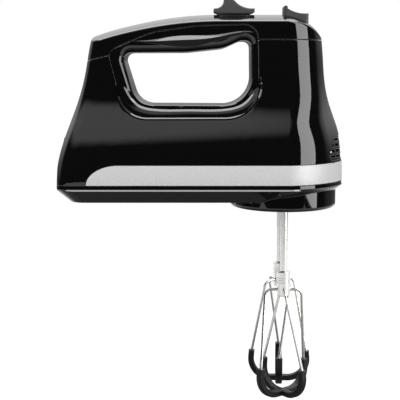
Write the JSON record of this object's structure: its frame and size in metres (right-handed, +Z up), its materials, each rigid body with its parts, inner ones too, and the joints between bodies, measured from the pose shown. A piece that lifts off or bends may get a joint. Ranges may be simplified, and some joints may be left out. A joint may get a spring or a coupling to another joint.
{
  "type": "electric hand mixer",
  "caption": "Corded kitchen hand mixer with a closed loop handle, sliding speed knob, ejector button, silver trim band and two removable wire beaters with black boots.",
  "frame": {"origin": "middle of the grip, under the speed knob and on the middle plane", "axes": "+X to the nose, +Y to the left side seen from behind, +Z up from the beaters to the knob"},
  "size_m": [0.2037, 0.0912, 0.2882],
  "materials": {
    "black_gloss": "high gloss",
    "silver_trim": "satin silver",
    "grey_matte": "fine matt grain",
    "black_matte": "matt",
    "board_green": "lacquered board",
    "black_rubber": "smooth sheath",
    "boot_rubber": "smooth satin",
    "steel": "ground",
    "polished_steel": "polished stainless",
    "spring_steel": "drawn wire",
    "zinc_steel": "zinc plated",
    "core_iron": "stacked sheets",
    "copper_winding": "lacquered copper",
    "copper_bar": "turned copper",
    "bronze": "sintered bronze",
    "brass_holder": "pressed brass",
    "carbon": "carbon",
    "cast_aluminium": "as cast",
    "white_nylon": "moulded nylon"
  },
  "bodies": {
    "housing": {"main_housing": "black_gloss", "handle_cover": "black_gloss", "grip_ring": "black_gloss", "trim_band": "silver_trim", "vent_grille": "black_gloss", "bottom_housing": "black_gloss", "housing_screws": "zinc_steel", "cord_gland": "black_matte", "speed_switch": "black_matte", "control_board": "board_green", "supply_lead": "black_rubber", "ejector_guide": "black_matte", "ejector_spring": "spring_steel", "stator_core": "core_iron", "field_coils": "copper_winding", "rear_bracket": "zinc_steel", "tie_rods": "zinc_steel", "rear_bearing": "bronze", "front_bearing": "bronze", "nose_bearing": "bronze", "brush_holders": "brass_holder", "carbon_brushes": "carbon", "brush_springs": "spring_steel", "gearbox_frame": "cast_aluminium", "gearbox_screws": "zinc_steel", "spindle_bushes": "bronze"},
    "rotor": {"armature_core": "core_iron", "armature_windings": "copper_winding", "commutator": "copper_bar", "motor_shaft": "steel", "worm": "steel", "cooling_fan": "black_matte"},
    "drive_left": {"spindle_left": "steel", "drive_gear_left": "white_nylon", "spindle_clip_left": "spring_steel"},
    "drive_right": {"spindle_right": "steel", "drive_gear_right": "white_nylon", "spindle_clip_right": "spring_steel"},
    "ejector": {"ejector_button": "grey_matte", "ejector_yoke": "black_matte"},
    "pin_left": {"ejector_pin_left": "steel"},
    "pin_right": {"ejector_pin_right": "steel"},
    "beater_left": {"beater_shaft_left": "polished_steel", "beater_hub_left": "polished_steel", "beater_wires_left": "polished_steel", "beater_boots_left": "boot_rubber"},
    "beater_right": {"beater_shaft_right": "polished_steel", "beater_hub_right": "polished_steel", "beater_wires_right": "polished_steel", "beater_boots_right": "boot_rubber"},
    "speed_slide": {"speed_knob": "grey_matte", "slide_shield": "black_matte"}
  },
  "joints": [
    {"name": "motor_spin", "type": "hinge", "parent": "housing", "child": "rotor", "pos_m": [0, 0, -0.084], "axis": [1, 0, 0], "continuous": true},
    {"name": "left_spin", "type": "hinge", "parent": "housing", "child": "drive_left", "pos_m": [0.0752, 0.017, -0.084], "axis": [0, 0, 1], "continuous": true},
    {"name": "right_spin", "type": "hinge", "parent": "housing", "child": "drive_right", "pos_m": [0.0752, -0.017, -0.084], "axis": [0, 0, 1], "continuous": true},
    {"name": "ejector_press", "type": "slide", "parent": "housing", "child": "ejector", "axis": [0, 0, -1], "range_m": [0, 0.007], "stiffness_N_per_m": 400, "springref_m": -0.006, "deforming": ["ejector_spring"]},
    {"name": "left_pin_push", "type": "slide", "parent": "drive_left", "child": "pin_left", "axis": [0, 0, -1], "range_m": [0, 0.007]},
    {"name": "right_pin_push", "type": "slide", "parent": "drive_right", "child": "pin_right", "axis": [0, 0, -1], "range_m": [0, 0.007]},
    {"name": "left_beater_pull", "type": "slide", "parent": "pin_left", "child": "beater_left", "axis": [0, 0, -1], "range_m": [0, 0.032]},
    {"name": "right_beater_pull", "type": "slide", "parent": "pin_right", "child": "beater_right", "axis": [0, 0, -1], "range_m": [0, 0.032]},
    {"name": "speed_select", "type": "slide", "parent": "housing", "child": "speed_slide", "axis": [1, 0, 0], "range_m": [0, 0.018]}
  ],
  "couplings": [
    {"joint": "left_spin", "follows": "motor_spin", "ratio": -0.076923},
    {"joint": "right_spin", "follows": "motor_spin", "ratio": 0.076923},
    {"joint": "left_pin_push", "follows": "ejector_press", "ratio": 1},
    {"joint": "right_pin_push", "follows": "ejector_press", "ratio": 1}
  ]
}
